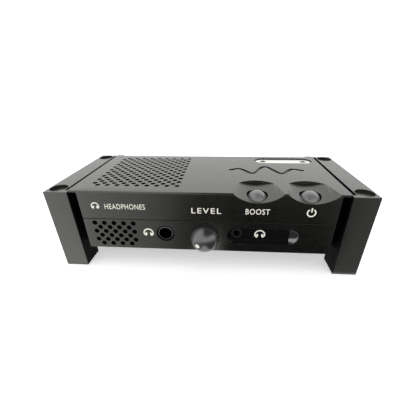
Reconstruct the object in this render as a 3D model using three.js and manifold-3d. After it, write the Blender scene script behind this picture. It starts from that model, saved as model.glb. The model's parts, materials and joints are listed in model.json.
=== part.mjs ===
// Desktop headphone amplifier: two end cheeks stand on the table and carry a casing
// of two shells between them, with the electronics inside.
// Millimetres, +Z up, the front faces -Y, the origin is on the table under the middle.

import * as THREE from 'three';
import { mergeVertices } from 'three/addons/utils/BufferGeometryUtils.js';
import Module from 'manifold-3d';

const wasm = await Module();
wasm.setup();

// ---------------------------------------------------------------- driving dimensions
// Inside the group, y runs back from the front face and z runs up from the table.

const width = 160;
const depth = 66;
const cheekTop = 45.4;
const cheekThickness = 12.3;
const gap = 0.3;

const caseBottom = 13.25;
const caseTop = 46.25;
const parting = 31;
const wall = 2.4;
const plateThickness = 2.2;
const floorThickness = 2.5;
const upperFrontWall = 2.5;
const lowerFrontWall = 4;
const frontHalf = 63;
const slotDepth = 7;
const middleRear = 62;
const endRear = 64;
const edgeChamfer = 0.6;
const lipThickness = 1;

const cheekInner = width / 2 - cheekThickness;
const caseHalf = cheekInner - gap;
const innerHalf = caseHalf - wall;
const floorTop = caseBottom + floorThickness;
const ceiling = caseTop - plateThickness;
const lipBottom = caseTop - lipThickness;
const footX = (cheekInner + width / 2) / 2;
const lowerShellTop = parting - gap / 2;
const upperShellBottom = parting + gap / 2;

const foot = { length: 12.9, archTop: 8.5, standOff: 0.15, padRadius: 4, padThickness: 1.5, inset: 6 };
const sides = { left: -1, right: 1 };
const ends = { front: foot.inset, rear: depth - foot.inset };
const pocket = { depth: 2.4, end: 2.5, bottom: 26 };
const stackRecess = { radius: 4.3, depth: 1.5, inset: 5.1, end: 5.5 };

const topGrille = { columns: 9, rows: 19, pitch: 5.15, rowPitch: 2.6, x: -35.15, first: 8.3, radius: 1.15 };
const frontGrille = { columns: 5, rows: 6, pitch: 5.06, rowPitch: 2.5, x: -47.1, first: 28.6, radius: 1.28 };

const buttonX = { gain: 25.2, power: 50.45 };
const buttonY = 6.2;
const buttonTravel = 0.8;
const dishTilt = THREE.MathUtils.degToRad(9.6);
const dish = { depth: 4.7, floorRadius: 17.8, wallRadius: 12.2, rear: 17.4 };
const ball = { radius: 4.85, sink: 2, cut: 2.4 };
const guideBlock = { x0: 12.5, x1: 62, rear: 15, bottom: 38.2 };
const plunger = { halfX: 6.2, halfY: 3.2, thickness: 1, stemRadius: 1.5, stemLength: 1.9 };

const knob = { x: -0.5, z: 20.6, radius: 7.5, sink: 1.2, backGap: 0.4, boreEnd: -5 };
const knobDot = { offAxis: 3.4, angle: THREE.MathUtils.degToRad(197), radius: 1.6, depth: 0.3 };
const shaft = { radius: 2, front: -4.7, rear: 11.2 };
const bushing = { radius: 3.3, front: 0.5 };
const potBody = { half: 7, rear: 12.5, top: 27 };
const grub = { y: -2.6, radius: 1, reach: 5.6 };
const nut = { recessRadius: 6.3, recessDepth: 2.2, radius: 5.5 };
const largeJack = { x: -20.7, z: 23.1, noseRadius: 4.3, boreRadius: 3.25, half: 6, rear: 30, endWall: 2 };
const recess = { x0: 15.9, x1: 42.4, z: 22.8, radius: 4.4, ringRadius: 4.8, depth: 2.2 };
const smallJack = { noseRadius: 3, boreRadius: 1.8, halfX: 4.5, halfZ: 4, rear: 16, endWall: 1 };

const boardThickness = 1.6;
const boardBottom = floorTop + 4 + gap;
const boardTop = boardBottom + boardThickness;
const onBoard = boardTop + gap;
const board = { half: 55, front: 18, rear: 53, notchX0: -31, notchX1: -10.4, notchRear: 37 };
const pillar = { x: 50, ys: [22, 49], radius: 3, hole: 1.55, screwHead: 2.4, screwShank: 1.25 };
const relay = { x0: -9, x1: 5, y0: 20, y1: 38, top: 32 };
const capacitor = { xs: [12, 27, 42], y: 33, radius: 6.25, top: 40 };
const heatFins = { x0: -52, x1: -34, y0: 26, y1: 44, base: 3, top: 39, fins: 5, pitch: 4.1, fin: 1.6 };
const transistor = { x0: -33.7, x1: -31.3, ys: [27, 36], width: 7, lift: 1, top: 36 };
const switchBoard = { x0: 19, x1: 55.3, front: 2.8, rear: 12.9, screwX: 37.8, screwYs: [6.2, 10.6] };
const switchPost = { radius: 1.8, hole: 1.3, screwHead: 1.8, screwShank: 1 };
const tactSwitch = { half: 3 };
const light = { offset: 4, half: 0.8, depth: 1, height: 0.9 };
const switchBoardBottom = upperShellBottom + gap;
const switchBoardTop = switchBoardBottom + boardThickness;

const caseScrew = { x: 60.5, ys: [12, 50], recess: 3.1, boss: 4.7, hole: 1.8, shank: 1.5, head: 3, top: 38 };
const cheekScrew = { ys: [20, 42], z: 21, hole: 1.8, shank: 1.5, head: 2.75, tip: 74.5 };
const badge = { x0: 33.6, x1: 59, y: 53.2, recess: 5.1, plate: 4.7, depth: 1.8, sink: 0.65 };
const badgeScrew = { xs: [33.7, 58.9], head: 1.65, shank: 0.8, hole: 1.1, holeDepth: 1.3 };
const badgeBacking = { radius: 6.1, bottom: ceiling - 1.6 };

const panel = { front: 55.4, rear: 57.4 };
const socketZ = 29.5;
const phonoX = { input_left: 37, input_right: 23.5, output_left: 8.5, output_right: -5 };
const speakerX = { left_plus: -20, left_minus: -30.5, right_plus: -41, right_minus: -51.5 };
const phono = {
  radius: 4.15, flange: 5.3, flangeDepth: 1, grooveOuter: 3.3, grooveInner: 1.7, pinHole: 0.9, body: 4.6,
};
const insideFront = 45;
const speaker = { radius: 3.6, flange: 4.6, flangeDepth: 1.5, bore: 2.05, rear: 65.4 };
const powerInlet = { x: 50, radius: 4, bore: 2.9, pin: 1, halfX: 4.5, halfZ: 5.2 };

// ---------------------------------------------------------------- finishes

function finish(color, roughness, metalness) {
  return new THREE.MeshStandardMaterial({ color, roughness, metalness });
}

const anodised = finish(0x2b2c29, 0.48, 0.75);
const polishedBlack = finish(0x1c1c1b, 0.25, 0.85);
const nickel = finish(0xd8d6cc, 0.28, 1);
const steel = finish(0x9a9b9d, 0.35, 1);
const blackSteel = finish(0x161616, 0.45, 0.9);
const bareAluminium = finish(0xb0b2b4, 0.4, 0.9);
const gold = finish(0xc9a24a, 0.3, 1);
const rubber = finish(0x121212, 0.9, 0);
const blackPlastic = finish(0x101011, 0.5, 0);
const redPlastic = finish(0xa01c1a, 0.45, 0);
const frosted = finish(0x8d8f8c, 0.18, 0);
const circuitGreen = finish(0x1d4a33, 0.55, 0);
const capacitorSleeve = finish(0x20283f, 0.4, 0);

// ---------------------------------------------------------------- solids

function solid(geometry) {
  geometry.deleteAttribute('normal');
  geometry.deleteAttribute('uv');
  const merged = mergeVertices(geometry, 1e-4);
  return new wasm.Manifold(new wasm.Mesh({
    numProp: 3,
    vertProperties: new Float32Array(merged.attributes.position.array),
    triVerts: new Uint32Array(merged.index.array),
  }));
}

function join(...parts) {
  return parts.flat().reduce((sum, part) => sum.add(part));
}

function cut(body, ...tools) {
  return tools.flat().reduce((rest, tool) => rest.subtract(tool), body);
}

// The x limits may come in either order, so that one call serves both sides.
function box(xa, xb, y0, y1, z0, z1) {
  const geometry = new THREE.BoxGeometry(Math.abs(xb - xa), y1 - y0, z1 - z0);
  geometry.translate((xa + xb) / 2, (y0 + y1) / 2, (z0 + z1) / 2);
  return solid(geometry);
}

// Cylinder between two values on one axis; `across` holds the other two coordinates.
function rod(axis, radius, from, to, across, sides = 16) {
  const geometry = new THREE.CylinderGeometry(radius, radius, Math.abs(to - from), sides);
  const middle = (from + to) / 2;
  const [a, b] = across;
  if (axis === 'x') {
    geometry.rotateZ(Math.PI / 2);
    geometry.translate(middle, a, b);
  } else if (axis === 'y') {
    geometry.translate(a, middle, b);
  } else {
    geometry.rotateX(Math.PI / 2);
    geometry.translate(a, b, middle);
  }
  return solid(geometry);
}

// Shape drawn in plan and raised from z0 to z1.
function raise(shape, z0, z1, curveSegments = 8) {
  const geometry = new THREE.ExtrudeGeometry(shape, { depth: z1 - z0, bevelEnabled: false, curveSegments });
  geometry.translate(0, 0, z0);
  return solid(geometry);
}

// Shape drawn on the front face, as x and z, and pushed back from y0 to y1.
function pushBack(shape, y0, y1, curveSegments = 8) {
  const geometry = new THREE.ExtrudeGeometry(shape, { depth: y1 - y0, bevelEnabled: false, curveSegments });
  geometry.rotateX(Math.PI / 2);
  geometry.translate(0, y1, 0);
  return solid(geometry);
}

// Bar with round ends, centred on the line from x0 to x1.
function stadium(x0, x1, level, radius) {
  const shape = new THREE.Shape();
  shape.absarc(x1, level, radius, -Math.PI / 2, Math.PI / 2, false);
  shape.absarc(x0, level, radius, Math.PI / 2, 1.5 * Math.PI, false);
  return shape;
}

function badgeOutline(radius) {
  return stadium(badge.x0, badge.x1, badge.y, radius);
}

function sphere(radius, x, y, z, slices, stacks) {
  const geometry = new THREE.SphereGeometry(radius, slices, stacks);
  geometry.rotateX(Math.PI / 2);
  geometry.translate(x, y, z);
  return solid(geometry);
}

// One solid for each mirrored pair of positions.
function onBothSides(x, ys, make) {
  return ys.flatMap((y) => [make(-x, y), make(x, y)]);
}

// ---------------------------------------------------------------- scene graph

const amplifier = new THREE.Group();
amplifier.position.y = (knob.radius - knob.sink - depth) / 2;

function piece(name, body, material) {
  const { vertProperties, triVerts } = body.getMesh();
  const geometry = new THREE.BufferGeometry();
  geometry.setAttribute('position', new THREE.BufferAttribute(vertProperties, 3));
  geometry.setIndex(new THREE.BufferAttribute(triVerts, 1));
  geometry.computeVertexNormals();
  const mesh = new THREE.Mesh(geometry, material);
  mesh.name = name;
  amplifier.add(mesh);
}

// ---------------------------------------------------------------- casing plan and cavity

// Plan of both shells: slots notch the front corners, and the middle of the rear edge
// stands a little forward of its ends.
function casePlan(notch) {
  const right = [
    [frontHalf, 0], [frontHalf, notch], [caseHalf, notch],
    [caseHalf, endRear], [frontHalf, endRear], [frontHalf, middleRear],
  ];
  const left = right.map(([x, y]) => [-x, y]).reverse();
  return new THREE.Shape([...right, ...left].map(([x, y]) => new THREE.Vector2(x, y)));
}

// The space inside the shells, open at the rear for the socket panel.
function cavity(front, z0, z1) {
  return join(
    box(wall - frontHalf, frontHalf - wall, front, depth, z0, z1),
    box(-innerHalf, innerHalf, slotDepth + wall, depth, z0, z1),
  );
}

// Staggered rows of round holes; every other row is shifted by half a pitch.
function staggered(grille, shiftedColumns, drill) {
  const holes = [];
  for (let row = 0; row < grille.rows; row += 1) {
    const shifted = row % 2 === 1;
    const count = shifted ? shiftedColumns : grille.columns;
    const start = grille.x - (grille.columns - 1) * grille.pitch / 2;
    const offset = shifted ? shiftSign(grille, shiftedColumns) * grille.pitch / 2 : 0;
    for (let column = 0; column < count; column += 1) {
      holes.push(drill(start + offset + column * grille.pitch, row));
    }
  }
  return holes;
}

// Full shifted rows step towards the left cheek, short ones sit between their neighbours.
function shiftSign(grille, shiftedColumns) {
  return shiftedColumns === grille.columns ? -1 : 1;
}

// ---------------------------------------------------------------- top cover

function dishFloor(y) {
  return caseTop - dish.depth + y * Math.tan(dishTilt);
}

// Scallop for a button: a tilted cylinder gives the floor, an upright one the rear wall.
function dishCutter(x) {
  const floor = new THREE.CylinderGeometry(dish.floorRadius, dish.floorRadius, 80, 56);
  floor.rotateX(dishTilt);
  floor.translate(x, 0, dishFloor(0) + dish.floorRadius / Math.cos(dishTilt));
  const centre = dish.rear - dish.wallRadius;
  const reach = join(
    rod('z', dish.wallRadius, guideBlock.bottom, caseTop + 4, [x, centre], 32),
    box(x - dish.wallRadius, x + dish.wallRadius, -5, centre, guideBlock.bottom, caseTop + 4),
  );
  return solid(floor).intersect(reach);
}

function frontChamferCutter() {
  const size = 4;
  const geometry = new THREE.BoxGeometry(2 * frontHalf, size, size);
  geometry.rotateX(Math.PI / 4);
  const outward = size / 2 * Math.SQRT1_2;
  geometry.translate(0, edgeChamfer / 2 - outward, caseTop - edgeChamfer / 2 + outward);
  return solid(geometry);
}

function topCover() {
  const shell = cut(
    raise(casePlan(slotDepth), upperShellBottom, lipBottom),
    cavity(upperFrontWall, parting - 5, ceiling),
  );
  const plate = cut(raise(casePlan(edgeChamfer), lipBottom, caseTop), frontChamferCutter());
  const guide = box(
    guideBlock.x0, guideBlock.x1, upperFrontWall - 1, guideBlock.rear, guideBlock.bottom, ceiling + 1,
  );
  const backing = raise(badgeOutline(badgeBacking.radius), badgeBacking.bottom, ceiling + 1);
  const bosses = onBothSides(caseScrew.x, caseScrew.ys, (x, y) => (
    rod('z', caseScrew.boss, upperShellBottom, ceiling + 1, [x, y])));
  const posts = switchBoard.screwYs.map((y) => (
    rod('z', switchPost.radius, switchBoardTop + gap, guideBlock.bottom + 1, [switchBoard.screwX, y])));
  return cut(
    join(shell, plate, guide, backing, bosses, posts),
    Object.values(buttonX).map(dishCutter),
    Object.values(buttonX).map((x) => (
      rod('z', ball.radius + gap, guideBlock.bottom - 1, caseTop, [x, buttonY], 24))),
    staggered(topGrille, topGrille.columns, (x, row) => {
      const y = topGrille.first + row * topGrille.rowPitch;
      return rod('z', topGrille.radius, ceiling - 1, caseTop + 1, [x, y], 6);
    }),
    raise(badgeOutline(badge.recess), caseTop - badge.depth, caseTop + 1),
    badgeScrew.xs.map((x) => (
      rod('z', badgeScrew.hole, caseTop - badge.depth - badgeScrew.holeDepth, caseTop, [x, badge.y], 12))),
    onBothSides(caseScrew.x, caseScrew.ys, (x, y) => (
      rod('z', caseScrew.hole, parting - 1, caseScrew.top + 0.6, [x, y], 10))),
    switchBoard.screwYs.map((y) => (
      rod('z', switchPost.hole, switchBoardTop, guideBlock.bottom - 0.2, [switchBoard.screwX, y], 12))),
  );
}

piece('top_cover', topCover(), anodised);

// ---------------------------------------------------------------- bottom case

function bottomCase() {
  const shell = cut(
    raise(casePlan(slotDepth), caseBottom, lowerShellTop),
    cavity(lowerFrontWall, floorTop, caseTop),
  );
  const pillars = onBothSides(pillar.x, pillar.ys, (x, y) => (
    rod('z', pillar.radius, floorTop - 1, boardBottom - gap, [x, y], 12)));
  const bosses = onBothSides(caseScrew.x, caseScrew.ys, (x, y) => (
    rod('z', caseScrew.boss, floorTop - 1, lowerShellTop, [x, y])));
  const throughFront = [-1, lowerFrontWall + 1];
  return cut(
    join(shell, pillars, bosses),
    staggered(frontGrille, frontGrille.columns - 1, (x, row) => (
      rod('y', frontGrille.radius, ...throughFront, [x, frontGrille.first - row * frontGrille.rowPitch], 6))),
    rod('y', largeJack.noseRadius + gap, ...throughFront, [largeJack.x, largeJack.z], 20),
    pushBack(stadium(recess.x0, recess.x1, recess.z, recess.radius), -1, recess.depth),
    rod('y', recess.ringRadius, -1, recess.depth, [recess.x0, recess.z], 20),
    rod('y', smallJack.noseRadius + gap, ...throughFront, [recess.x0, recess.z]),
    rod('y', nut.recessRadius, -1, nut.recessDepth, [knob.x, knob.z]),
    rod('y', bushing.radius + gap, ...throughFront, [knob.x, knob.z]),
    onBothSides(pillar.x, pillar.ys, (x, y) => rod('z', pillar.hole, floorTop + 0.5, boardTop, [x, y], 8)),
    onBothSides(caseScrew.x, caseScrew.ys, (x, y) => rod('z', caseScrew.hole, 0, parting + 1, [x, y], 10)),
    onBothSides(caseScrew.x, caseScrew.ys, (x, y) => (
      rod('z', caseScrew.head + gap, 0, caseBottom + caseScrew.recess, [x, y]))),
    cheekScrew.ys.map((y) => rod('x', cheekScrew.hole, -width / 2, width / 2, [y, cheekScrew.z], 10)),
  );
}

piece('bottom_case', bottomCase(), anodised);

// ---------------------------------------------------------------- cheeks and feet

function cheek(side) {
  const inner = side * cheekInner;
  const outer = side * width / 2;
  const stackX = outer - side * stackRecess.inset;
  const stackYs = [stackRecess.end, depth - stackRecess.end];
  return cut(
    box(inner, outer, 0, depth, foot.standOff, cheekTop),
    box(inner - side, inner + side * pocket.depth, pocket.end, depth - pocket.end,
      pocket.bottom, cheekTop + 1),
    box(inner - side, outer + side, foot.length, depth - foot.length, -1, foot.archTop),
    stackYs.map((y) => (
      rod('z', stackRecess.radius, cheekTop - stackRecess.depth, cheekTop + 1, [stackX, y], 20))),
    Object.values(ends).map((y) => (
      rod('z', foot.padRadius + gap, -1, foot.padThickness + gap, [side * footX, y], 20))),
    cheekScrew.ys.map((y) => (
      rod('x', cheekScrew.hole, inner - side, side * (cheekScrew.tip + 0.6), [y, cheekScrew.z], 10))),
  );
}

for (const [sideName, side] of Object.entries(sides)) {
  piece(`${sideName}_cheek`, cheek(side), anodised);
  for (const [endName, y] of Object.entries(ends)) {
    const pad = rod('z', foot.padRadius, 0, foot.padThickness, [side * footX, y], 20);
    piece(`${endName}_${sideName}_foot_pad`, pad, rubber);
  }
}

// ---------------------------------------------------------------- screws

// Cap screw on an axis: a head from `head` to `seat`, and a shank from there to `tip`.
function screw(axis, across, head, seat, tip, headRadius, shankRadius) {
  return join(
    rod(axis, headRadius, head, seat, across, 12),
    rod(axis, shankRadius, (head + seat) / 2, tip, across, 8),
  );
}

for (const [sideName, side] of Object.entries(sides)) {
  ['front', 'rear'].forEach((endName, index) => {
    const caseAcross = [side * caseScrew.x, caseScrew.ys[index]];
    const seat = caseBottom + caseScrew.recess - gap;
    piece(`case_screw_${endName}_${sideName}`,
      screw('z', caseAcross, caseBottom + gap, seat, caseScrew.top,
        caseScrew.head, caseScrew.shank), blackSteel);
    const cheekAcross = [cheekScrew.ys[index], cheekScrew.z];
    const inside = innerHalf - gap;
    piece(`cheek_screw_${endName}_${sideName}`,
      screw('x', cheekAcross, side * (inside - 2.7), side * inside, side * cheekScrew.tip,
        cheekScrew.head, cheekScrew.shank), steel);
    const pillarAcross = [side * pillar.x, pillar.ys[index]];
    piece(`board_screw_${endName}_${sideName}`,
      screw('z', pillarAcross, onBoard + 1.6, onBoard, floorTop + 0.8,
        pillar.screwHead, pillar.screwShank), steel);
  });
}

// ---------------------------------------------------------------- badge

function badgePlate() {
  const plate = raise(
    badgeOutline(badge.plate),
    caseTop - badge.depth + gap,
    caseTop - badge.sink,
  );
  return cut(plate, badgeScrew.xs.map((x) => (
    rod('z', badgeScrew.head + gap, parting, caseTop, [x, badge.y]))));
}

piece('badge_plate', badgePlate(), nickel);
badgeScrew.xs.forEach((x, index) => {
  const floor = caseTop - badge.depth;
  piece(`badge_screw_${index + 1}`,
    screw('z', [x, badge.y], caseTop - badge.sink, floor + gap, floor - 1,
      badgeScrew.head, badgeScrew.shank), blackSteel);
});

// ---------------------------------------------------------------- volume control

const knobAxis = [knob.x, knob.z];

// Ball-nosed cutter for the shallow dimple that marks the knob's position.
function dimpleCutter() {
  const reach = (knob.radius + knobDot.radius - knobDot.depth) / knob.radius;
  const forward = Math.sqrt(knob.radius ** 2 - knobDot.offAxis ** 2);
  return sphere(
    knobDot.radius,
    knob.x + reach * knobDot.offAxis * Math.cos(knobDot.angle),
    knob.sink - reach * forward,
    knob.z + reach * knobDot.offAxis * Math.sin(knobDot.angle),
    12, 8,
  );
}

function volumeKnob() {
  const ballBody = sphere(knob.radius, knob.x, knob.sink, knob.z, 24, 14);
  return cut(
    ballBody,
    box(knob.x - 10, knob.x + 10, -knob.backGap, 12, knob.z - 10, knob.z + 10),
    rod('y', shaft.radius + gap, knob.boreEnd, 1, knobAxis),
    rod('z', grub.radius + gap, knob.z - knob.radius - 1, knob.z, [knob.x, grub.y]),
    dimpleCutter(),
  );
}

function potentiometer() {
  return cut(
    join(
      box(knob.x - potBody.half, knob.x + potBody.half, lowerFrontWall + gap, potBody.rear,
        floorTop + gap, potBody.top),
      rod('y', bushing.radius, bushing.front, lowerFrontWall + 1, knobAxis),
    ),
    rod('y', shaft.radius + gap, 0, shaft.rear + gap, knobAxis),
  );
}

piece('volume_knob', volumeKnob(), polishedBlack);
piece('volume_shaft', rod('y', shaft.radius, shaft.front, shaft.rear, knobAxis), steel);
piece('knob_grub_screw',
  rod('z', grub.radius, knob.z - grub.reach, knob.z - shaft.radius - gap, [knob.x, grub.y], 12), blackSteel);
piece('volume_potentiometer', potentiometer(), bareAluminium);
piece('potentiometer_nut', cut(
  rod('y', nut.radius, gap, nut.recessDepth - gap, knobAxis, 6),
  rod('y', bushing.radius + gap, -1, nut.recessDepth, knobAxis),
), nickel);

// ---------------------------------------------------------------- push buttons

const ballCentre = dishFloor(buttonY) - ball.sink;
const plungerTop = guideBlock.bottom - gap;
const stemBottom = plungerTop - plunger.thickness - plunger.stemLength;
const switchTop = plungerTop - plunger.thickness - buttonTravel - gap;

for (const [name, x] of Object.entries(buttonX)) {
  piece(`${name}_button`, cut(
    sphere(ball.radius, x, buttonY, ballCentre, 20, 12),
    box(x - 6, x + 6, 0, 12, ballCentre - 6, ballCentre - ball.cut),
  ), frosted);
  piece(`${name}_plunger`, join(
    box(x - plunger.halfX, x + plunger.halfX, buttonY - plunger.halfY, buttonY + plunger.halfY,
      plungerTop - plunger.thickness, plungerTop),
    rod('z', plunger.stemRadius, stemBottom, plungerTop - 0.5, [x, buttonY]),
  ), frosted);
  piece(`${name}_switch`, cut(
    box(x - tactSwitch.half, x + tactSwitch.half, buttonY - tactSwitch.half, buttonY + tactSwitch.half,
      switchBoardTop + gap, switchTop),
    rod('z', plunger.stemRadius + gap, stemBottom - buttonTravel - gap, switchTop + 1, [x, buttonY]),
  ), blackPlastic);
  piece(`${name}_light`,
    box(x - light.half, x + light.half, buttonY + light.offset, buttonY + light.offset + light.depth,
      switchBoardTop + gap, switchBoardTop + gap + light.height), nickel);
}

piece('switch_board', cut(
  box(switchBoard.x0, switchBoard.x1, switchBoard.front, switchBoard.rear, switchBoardBottom, switchBoardTop),
  switchBoard.screwYs.map((y) => (
    rod('z', switchPost.hole, parting - 1, switchBoardTop + 1, [switchBoard.screwX, y], 12))),
), circuitGreen);
switchBoard.screwYs.forEach((y, index) => {
  const seat = switchBoardBottom - gap;
  piece(`switch_board_screw_${index + 1}`,
    screw('z', [switchBoard.screwX, y], seat - 1.4, seat, guideBlock.bottom - 0.8,
      switchPost.screwHead, switchPost.screwShank), steel);
});

// ---------------------------------------------------------------- headphone sockets

piece('large_headphone_socket', cut(
  join(
    box(largeJack.x - largeJack.half, largeJack.x + largeJack.half, lowerFrontWall + gap, largeJack.rear,
      largeJack.z - largeJack.half, largeJack.z + largeJack.half),
    rod('y', largeJack.noseRadius, gap, lowerFrontWall + 1, [largeJack.x, largeJack.z], 20),
  ),
  rod('y', largeJack.boreRadius, -1, largeJack.rear - largeJack.endWall, [largeJack.x, largeJack.z]),
), blackPlastic);

piece('small_headphone_socket', cut(
  join(
    box(recess.x0 - smallJack.halfX, recess.x0 + smallJack.halfX, lowerFrontWall + gap, smallJack.rear,
      recess.z - smallJack.halfZ, recess.z + smallJack.halfZ),
    rod('y', smallJack.noseRadius, recess.depth + gap, lowerFrontWall + 1, [recess.x0, recess.z]),
  ),
  rod('y', smallJack.boreRadius, 0, smallJack.rear - smallJack.endWall, [recess.x0, recess.z]),
), blackPlastic);

// ---------------------------------------------------------------- main board and its parts

piece('main_board', cut(
  box(-board.half, board.half, board.front, board.rear, boardBottom, boardTop),
  box(board.notchX0, board.notchX1, 0, board.notchRear, boardBottom - 1, boardTop + 1),
  onBothSides(pillar.x, pillar.ys, (x, y) => rod('z', pillar.hole, floorTop, boardTop + 1, [x, y], 8)),
), circuitGreen);

capacitor.xs.forEach((x, index) => {
  piece(`supply_capacitor_${index + 1}`,
    rod('z', capacitor.radius, onBoard, capacitor.top, [x, capacitor.y]), capacitorSleeve);
});

piece('input_relay', box(relay.x0, relay.x1, relay.y0, relay.y1, onBoard, relay.top), blackPlastic);

function heatSink() {
  const fins = Array.from({ length: heatFins.fins }, (_, index) => {
    const x = heatFins.x0 + index * heatFins.pitch;
    return box(x, x + heatFins.fin, heatFins.y0, heatFins.y1, onBoard, heatFins.top);
  });
  const base = box(heatFins.x0, heatFins.x1, heatFins.y0, heatFins.y1, onBoard, onBoard + heatFins.base);
  return join(base, fins);
}

piece('heat_sink', heatSink(), bareAluminium);
transistor.ys.forEach((y, index) => {
  piece(`output_transistor_${index + 1}`,
    box(transistor.x0, transistor.x1, y, y + transistor.width, onBoard + transistor.lift, transistor.top),
    blackPlastic);
});

// ---------------------------------------------------------------- rear panel and sockets

function rearPanel() {
  const through = [panel.front - 1, panel.rear + 1];
  return cut(
    box(gap - innerHalf, innerHalf - gap, panel.front, panel.rear, floorTop + gap, ceiling - gap),
    Object.values(phonoX).map((x) => rod('y', phono.radius + gap, ...through, [x, socketZ])),
    Object.values(speakerX).map((x) => rod('y', speaker.radius + gap, ...through, [x, socketZ])),
    rod('y', powerInlet.radius + gap, ...through, [powerInlet.x, socketZ]),
    raise(badgeOutline(badgeBacking.radius + gap), badgeBacking.bottom - gap, ceiling),
  );
}

piece('rear_panel', rearPanel(), anodised);

for (const [name, x] of Object.entries(phonoX)) {
  const at = [x, socketZ];
  const shellAndBody = join(
    box(x - phono.body, x + phono.body, insideFront, panel.front - gap, onBoard, socketZ + phono.body),
    rod('y', phono.radius, panel.front - 1, depth, at),
    rod('y', phono.flange, panel.rear + gap, panel.rear + gap + phono.flangeDepth, at),
  );
  const groove = rod('y', phono.grooveOuter, 58.5, depth + 1, at);
  const insulator = rod('y', phono.grooveInner, 58, depth - 0.8, at, 10);
  piece(`phono_${name}`, cut(
    join(cut(shellAndBody, groove), insulator),
    rod('y', phono.pinHole, 59.5, depth + 1, at, 8),
  ), gold);
}

for (const [name, x] of Object.entries(speakerX)) {
  const at = [x, socketZ];
  piece(`speaker_${name}`, cut(
    join(
      rod('y', speaker.radius, insideFront + 1, speaker.rear, at),
      rod('y', speaker.flange, panel.rear + gap, panel.rear + gap + speaker.flangeDepth, at),
    ),
    rod('y', speaker.bore, insideFront + 4, depth + 1, at, 10),
  ), name.endsWith('plus') ? redPlastic : blackPlastic);
}

function powerSocket() {
  const at = [powerInlet.x, socketZ];
  const shell = join(
    box(powerInlet.x - powerInlet.halfX, powerInlet.x + powerInlet.halfX, insideFront, panel.front - gap,
      socketZ - powerInlet.halfZ, socketZ + powerInlet.halfZ),
    rod('y', powerInlet.radius, panel.front - 1, panel.rear + 1.2, at),
  );
  return join(
    cut(shell, rod('y', powerInlet.bore, insideFront + 2, depth, at)),
    rod('y', powerInlet.pin, insideFront + 1, panel.rear, at, 12),
  );
}

piece('power_socket', powerSocket(), blackPlastic);

export default amplifier;
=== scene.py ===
"""Looks of a desktop headphone amplifier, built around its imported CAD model.

Shapes are made in millimetres in the CAD model's own layout: x from the middle, y back from the front
face, z up from the table. `add_piece` turns them into metres and moves them into the scene's frame.
"""

import json
import math

import bmesh
import bpy
from mathutils import Matrix, Vector


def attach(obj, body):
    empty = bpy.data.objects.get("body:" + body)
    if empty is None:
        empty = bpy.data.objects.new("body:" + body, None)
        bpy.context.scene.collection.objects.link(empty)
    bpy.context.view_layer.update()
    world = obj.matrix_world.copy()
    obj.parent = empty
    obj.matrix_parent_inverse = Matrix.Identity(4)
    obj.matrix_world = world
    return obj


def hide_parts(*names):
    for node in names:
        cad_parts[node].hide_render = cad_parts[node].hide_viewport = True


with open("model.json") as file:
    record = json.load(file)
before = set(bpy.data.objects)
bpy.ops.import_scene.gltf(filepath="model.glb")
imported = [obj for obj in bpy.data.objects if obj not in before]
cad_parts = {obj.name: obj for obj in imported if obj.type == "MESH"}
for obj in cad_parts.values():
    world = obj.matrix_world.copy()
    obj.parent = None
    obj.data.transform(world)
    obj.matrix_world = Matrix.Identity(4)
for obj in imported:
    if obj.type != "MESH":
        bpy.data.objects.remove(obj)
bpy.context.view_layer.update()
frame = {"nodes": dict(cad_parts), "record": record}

# ---------------------------------------------------------------- driving dimensions, in millimetres

# Clearances and fine edges. GAP lies between neighbouring pieces.
GAP = 0.3
FINE_EDGE = 0.12
CHEEK_EDGE = 0.25
GRILLE_EDGE = 0.04
INK_HEIGHT = 0.03

# Casing. FRONT_HALF and CASE_HALF are half widths, within and behind the slots of the front corners.
DEPTH = 66
HALF_WIDTH = 80
CHEEK_TOP = 45.4
CHEEK_INNER = 67.7
CASE_BOTTOM = 13.25
CASE_TOP = 46.25
CEILING = 44.05
FLOOR_TOP = 15.75
PARTING = 31
LOWER_TOP = PARTING - GAP / 2
UPPER_BOTTOM = PARTING + GAP / 2
LIP_BOTTOM = CASE_TOP - 1
FRONT_HALF = 63
CASE_HALF = CHEEK_INNER - GAP
INNER_HALF = 65
WALL = 2.4
UPPER_FRONT = 2.5
LOWER_FRONT = 4
SLOT_DEPTH = 7
MIDDLE_REAR = 62
END_REAR = 64
EDGE_CHAMFER = 0.6

# Grilles: staggered rows of round holes. "centre" and "first" place the first row.
TOP_GRILLE = {"columns": 9, "shifted_columns": 9, "rows": 19, "pitch": 5.15, "centre": -35.15,
              "first": 8.3, "row_step": 2.6, "radius": 1.25}
FRONT_GRILLE = {"columns": 5, "shifted_columns": 4, "rows": 6, "pitch": 5.06, "centre": -47.1,
                "first": 28.6, "row_step": -2.5, "radius": 1.28}

# Ball buttons, their dishes, and the block that guides them inside the top cover.
BALL_X = {"gain": 25.2, "power": 50.45}
BALL_Y = 6.2
BALL_RADIUS = 4.85
BALL_SINK = 2
BALL_CUT = 2.4
DISH_DEPTH = 4.7
DISH_TILT = math.radians(9.6)
DISH_FLOOR_RADIUS = 17.8
DISH_WALL_RADIUS = 12.2
DISH_REAR = 17.4
GUIDE_LEFT = 12.5
GUIDE_REAR = 15
GUIDE_BOTTOM = 38.2

# Volume knob, its position mark, its grub screw, and the casing holes behind it.
KNOB_X = -0.5
KNOB_Z = 20.6
KNOB_RADIUS = 7.5
KNOB_SINK = 1.2
KNOB_BACK = 0.4
KNOB_BORE = 2.3
KNOB_BORE_END = -5
DOT_OFF_AXIS = 3.4
DOT_ANGLE = math.radians(197)
DOT_RADIUS = 1
GRUB_Y = -2.6
GRUB_RADIUS = 1
GRUB_REACH = 5.6
NUT_RECESS = 6.3
NUT_DEPTH = 2.2
BUSHING_HOLE = 3.6

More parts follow.
